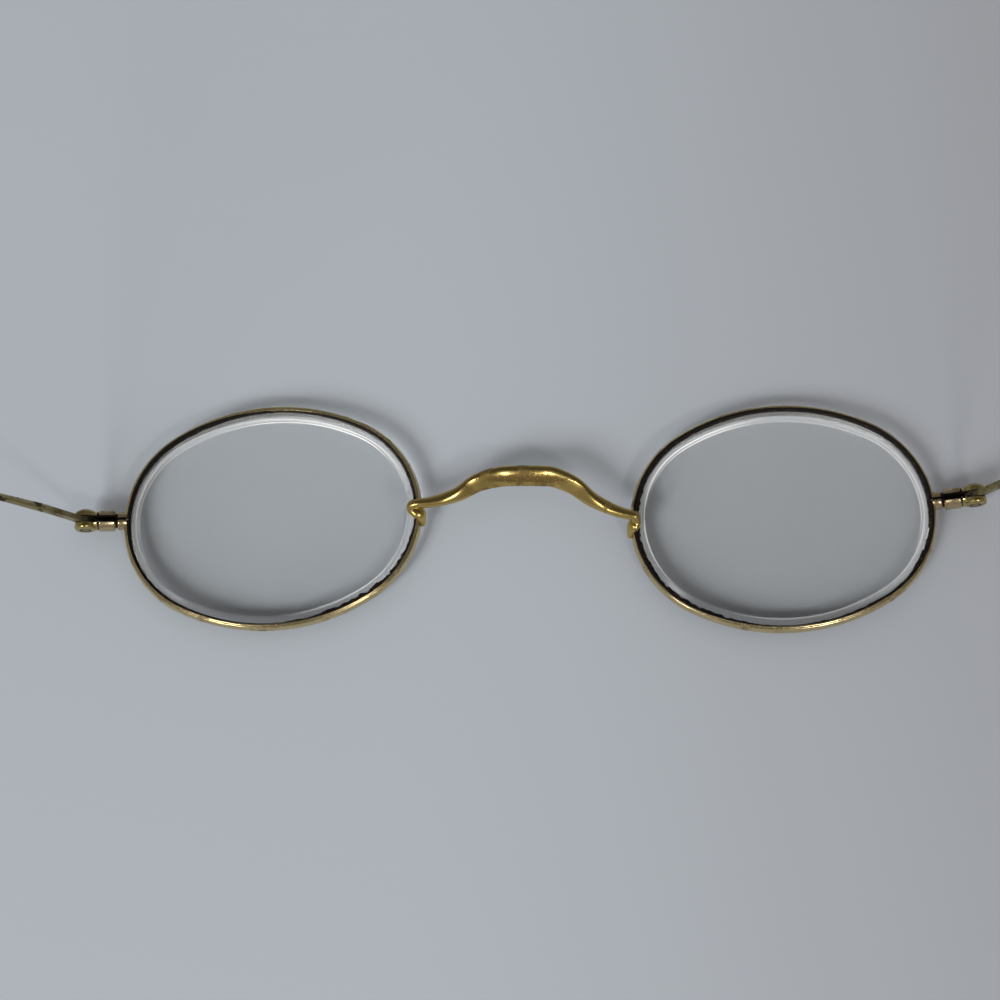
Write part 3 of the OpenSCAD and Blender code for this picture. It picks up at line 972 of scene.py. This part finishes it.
    def rings(self, side, steps=8):
        """The section's points at every step from the crest to one foot"""
        rows = self.stations(side)
        last = len(rows) - 1
        line = []
        for i in range(last):
            a, b, c, d = (rows[max(i - 1, 0)], rows[i], rows[i + 1], rows[min(i + 2, last)])
            if i == 0:
                a = (-rows[1][0], *rows[1][1:])
            for k in range(steps):
                t = k / steps
                line.append([catmull(p, q, r, s, t) for p, q, r, s in zip(a, b, c, d)])
        line.append(list(rows[last]))
        up = Vector((0, 1, 0))
        rings = []
        for i, row in enumerate(line):
            centre = Vector(row[:3])
            before = Vector(line[max(i - 1, 0)][:3])
            after = Vector(line[min(i + 1, len(line) - 1)][:3])
            heading = Vector((side, 0, 0)) if i == 0 else (after - before).normalized()
            up = (up - heading * up.dot(heading)).normalized()
            across = side * heading.cross(up)
            roll = 0.13 * max(0.0, 1.0 - row[5])
            high = up * math.cos(roll) + across * math.sin(roll)
            deep = across * math.cos(roll) - up * math.sin(roll)
            blend = min(row[5], 1.0)
            round_off = max(0.0, min((row[5] - 1.0) / 0.3, 1.0))
            ring = []
            for near, far, angle in zip(self.crest, self.flank, self.wire):
                u = near[0] + (far[0] - near[0]) * blend
                w = near[1] + (far[1] - near[1]) * blend
                u += (math.cos(angle) - u) * round_off
                w += (math.sin(angle) - w) * round_off
                ring.append((centre + high * row[3] * u + deep * row[4] * w) * MM)
            rings.append(ring)
        return rings


def catmull(a, b, c, d, t):
    """A smooth curve through the values b and c"""
    return (2 * b + (c - a) * t + (2 * a - 5 * b + 4 * c - d) * t * t + (3 * b - a - 3 * c + d) * t**3) / 2


class EYEGLASS_OT_endpieces(bpy.types.Operator):
    """Makes the four half endpieces with their ears"""

    bl_idname = "eyeglass.endpieces"
    bl_label = "Endpieces"

    ear_r, slot_half, bore_r = 1.4, 0.39, 0.6
    # Collar, block and neck, turned about the endpiece's own axis: radius and place along it
    turned = [
        (0.00, -0.28), (1.12, -0.28), (1.15, 0.00), (1.15, 0.66), (1.11, 0.75), (1.00, 0.79), (0.93, 0.84),
        (0.93, 1.04), (1.02, 1.08), (1.20, 1.12), (1.29, 1.20), (1.33, 1.34), (1.33, 2.98), (1.31, 3.08),
        (1.25, 3.14), (1.17, 3.18), (1.15, 3.24), (1.20, 3.32), (1.20, 3.80), (0.00, 3.80),
    ]
    # Ear, turned about the screw: radius and height
    disc = [
        (0.00, 1.225), (0.98, 1.225), (1.15, 1.19), (1.28, 1.11), (1.36, 1.00), (1.40, 0.86), (1.40, -0.86),
        (1.36, -1.00), (1.28, -1.11), (1.15, -1.19), (0.98, -1.225), (0.00, -1.225),
    ]

    def execute(self, context):
        for name, side in SIDES.items():
            material = endpiece_material(name)
            for part, up in (("upper", 1), ("lower", -1)):
                piece = self.half(f"{name}_endpiece_{part}", up * side)
                put(piece, endpiece_matrix(side))
                finish_piece(piece, "front", material, 38.0, [f"{name}_lug_{part}"])
        return {"FINISHED"}

    def half(self, name, up):
        """One half endpiece: up is 1 for the half above the split, -1 for the one below"""
        piece = self.spun(name, [(u, r, 0) for r, u in self.turned], (0, 0, 0), (1, 0, 0))
        ear = self.spun("ear", [(HINGE_OUT + r, v, 0) for r, v in self.disc], (HINGE_OUT, 0, 0), (0, 1, 0))
        take_away(piece, ear, "UNION")
        gap = sizes().split_gap / MM / 2
        low, high = sorted((up * gap, up * -4.0))
        self.cut(piece, (-2, low, -3), (9, high, 3))
        low, high = sorted((up * self.slot_half, up * -4.0))
        self.cut(piece, (1.1, low, 0), (9, high, 3))
        self.cut(piece, (HINGE_OUT - self.ear_r - 0.1, low, -3), (9, high, 3))
        deselect_all()
        bpy.ops.mesh.primitive_cylinder_add(
            vertices=48,
            radius=self.bore_r * MM,
            depth=6 * MM,
            location=(HINGE_OUT * MM, 0, 0),
            rotation=(math.pi / 2, 0, 0),
        )
        take_away(piece, bpy.context.object)
        return piece

    def cut(self, piece, low, high):
        cut_with_box(piece, [v * MM for v in low], [v * MM for v in high])

    def spun(self, name, profile, centre, axis):
        """Turns an open profile, from axis to axis, right round"""
        piece = start_ring(name, [Vector(point) * MM for point in profile])
        open_ring(piece)
        bpy.ops.mesh.spin(steps=72, angle=2 * math.pi, center=[v * MM for v in centre], axis=axis)
        close_up()
        return piece


class EYEGLASS_OT_fittings(bpy.types.Operator):
    """Gives the joint screws, temples and tips their finishes"""

    bl_idname = "eyeglass.fittings"
    bl_label = "Fittings"

    def execute(self, context):
        screw = screw_material()
        for name in SIDES:
            temple = temple_material(name)
            for node, material in (("joint_screw", screw), ("temple", temple), ("tip", temple)):
                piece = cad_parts[f"{name}_{node}"]
                piece.data.materials.clear()
                piece.data.materials.append(material)
        return {"FINISHED"}


class EYEGLASS_OT_stage(bpy.types.Operator):
    """Sets the table, the light and the camera"""

    bl_idname = "eyeglass.stage"
    bl_label = "Stage"

    lens_mm = 61.2
    camera_place = (0.00786, -0.05961, 0.20905)
    camera_right = (0.99866, 0.01499, -0.04944)
    camera_up = (-0.00019, 0.95804, 0.28664)
    camera_back = (0.05166, -0.28625, 0.95676)
    # Name, direction and colour of the lamps that the metal mirrors
    small_lamps = (
        ("fill", (0.350, -0.610, 0.712), (1.0, 0.98, 0.93)),
        ("second_fill", (-0.418, -0.596, 0.687), (1.0, 0.97, 0.90)),
    )

    def execute(self, context):
        self.table(context)
        self.light(context)
        self.camera(context)
        return {"FINISHED"}

    def table(self, context):
        """A plain table, with painted shade that makes it a little darker close to the right of the part,
        where the light falls off
        """
        stage = context.scene.eyeglass_stage
        deselect_all()
        bpy.ops.mesh.primitive_plane_add(size=6.0, location=(0, 0, 0))
        table = bpy.context.object
        table.name = "table"
        material, n = new_material("table_surface")
        place = n.add("ShaderNodeTexCoord").outputs["Object"]
        across = n.add("ShaderNodeSeparateXYZ", {0: place}).outputs["X"]
        tone = n.mix(n.math("MULTIPLY", n.noise(place, 4.0, 2.0), 0.12), stage.table, stage.table_cloud)
        away = n.add("ShaderNodeVectorMath", {0: place}, operation="LENGTH").outputs["Value"]
        # Painted shade: the table darkens towards the right of the part, as if the light fell off there
        darker = n.math("MULTIPLY", n.ramp(across, -0.02, 0.1), n.ramp(away, 0.34, 0.1))
        tone = n.mix(darker, tone, stage.table_painted_shade)
        shader = n.add("ShaderNodeBsdfPrincipled", {"Base Color": tone, "Roughness": 0.9})
        shader.inputs["Specular IOR Level"].default_value = 0.1
        n.show(shader)
        table.data.materials.append(material)

    def light(self, context):
        """Soft light from all round, dimmer where metal mirrors it, and three lamps"""
        stage = context.scene.eyeglass_stage
        world = bpy.data.worlds.new("studio")
        context.scene.world = world
        world.use_nodes = True
        n = Nodes(world.node_tree)
        way = n.add("ShaderNodeTexCoord").outputs["Generated"]
        rise = n.add("ShaderNodeSeparateXYZ", {0: way}).outputs["Z"]
        toward = n.dot(way, (-0.614, -0.789, 0.0))
        ceiling = n.ramp(rise, 0.45, 0.92, 0.38, 0.12)
        windows = n.ramp(toward, -0.9, 0.9, 0.75, 1.25)
        mirrored = n.math("MULTIPLY", ceiling, windows)
        for _, toward_lamp, _ in self.small_lamps:
            close = n.dot(way, toward_lamp)
            mirrored = n.math("ADD", mirrored, n.ramp(close, 0.984, 0.996, 0.0, 4.5))
        glossy = n.add("ShaderNodeLightPath").outputs["Is Glossy Ray"]
        share_seen = n.ramp(glossy, 0.0, 1.0, 1.0, mirrored)
        strength = n.math("MULTIPLY", share_seen, stage.sky)
        shade = n.add("ShaderNodeBackground", {"Color": (1.0, 0.985, 0.965, 1.0), "Strength": strength})
        n.show(shade, "World")
        key = self.lamp(context, "key", (-0.8, -1.03, 1.0), 3.0, stage.key, 1.22, (0.90, 0.96, 1.0))
        key.visible_glossy = False
        for name, toward_lamp, tint in self.small_lamps:
            self.lamp(context, name, toward_lamp, 0.7, stage.fill, 0.1, tint)

    def lamp(self, context, name, toward, away, power, size, tint):
        """A round soft lamp that stands in a direction and faces the part"""
        data = bpy.data.lights.new(name, "AREA")
        data.shape = "DISK"
        data.size = size
        data.energy = power
        data.color = tint
        lamp = bpy.data.objects.new(name, data)
        context.collection.objects.link(lamp)
        toward = Vector(toward).normalized()
        lamp.location = toward * away
        lamp.rotation_euler = toward.to_track_quat("Z", "Y").to_euler()
        return lamp

    def camera(self, context):
        """The photograph's view, found by fitting a camera to the eye wires"""
        data = bpy.data.cameras.new("camera")
        data.sensor_width = 36.0
        data.lens = self.lens_mm
        data.clip_start = 0.005
        data.clip_end = 20.0
        camera = bpy.data.objects.new("camera", data)
        context.collection.objects.link(camera)
        axes = Matrix([Vector(axis) for axis in (self.camera_right, self.camera_up, self.camera_back)])
        turn = axes.transposed().to_quaternion().to_matrix().to_4x4()
        camera.matrix_world = Matrix.Translation(self.camera_place) @ turn
        context.scene.camera = camera
        context.scene.view_settings.view_transform = "Standard"


class EYEGLASS_PT_panel(bpy.types.Panel):
    """Lists the steps that dress the eyeglasses"""

    bl_idname = "EYEGLASS_PT_panel"
    bl_label = "Eyeglasses"
    bl_space_type = "VIEW_3D"
    bl_region_type = "UI"
    bl_category = "Eyeglasses"

    def draw(self, context):
        for step in STEPS:
            self.layout.operator(step.bl_idname)
        for group in GROUPS:
            box = self.layout.box()
            values = getattr(context.scene, group)
            for key in values.__annotations__:
                box.prop(values, key)


STEPS = [
    EYEGLASS_OT_eye_wires,
    EYEGLASS_OT_lenses,
    EYEGLASS_OT_edge_grime,
    EYEGLASS_OT_bridge,
    EYEGLASS_OT_endpieces,
    EYEGLASS_OT_fittings,
    EYEGLASS_OT_stage,
]
GROUPS = {
    "eyeglass_sizes": EyeglassSizes,
    "eyeglass_metals": MetalFinish,
    "eyeglass_glass": GlassFinish,
    "eyeglass_stage": StageSetup,
}


def register():
    for kind in (*GROUPS.values(), *STEPS, EYEGLASS_PT_panel):
        bpy.utils.register_class(kind)
    for name, kind in GROUPS.items():
        setattr(bpy.types.Scene, name, PointerProperty(type=kind))


def unregister():
    for name in GROUPS:
        delattr(bpy.types.Scene, name)
    for kind in reversed((*GROUPS.values(), *STEPS, EYEGLASS_PT_panel)):
        bpy.utils.unregister_class(kind)


def main():
    register()
    for step in STEPS:
        group, name = step.bl_idname.split(".")
        getattr(getattr(bpy.ops, group), name)()
    deselect_all()


if __name__ == "__main__":
    main()
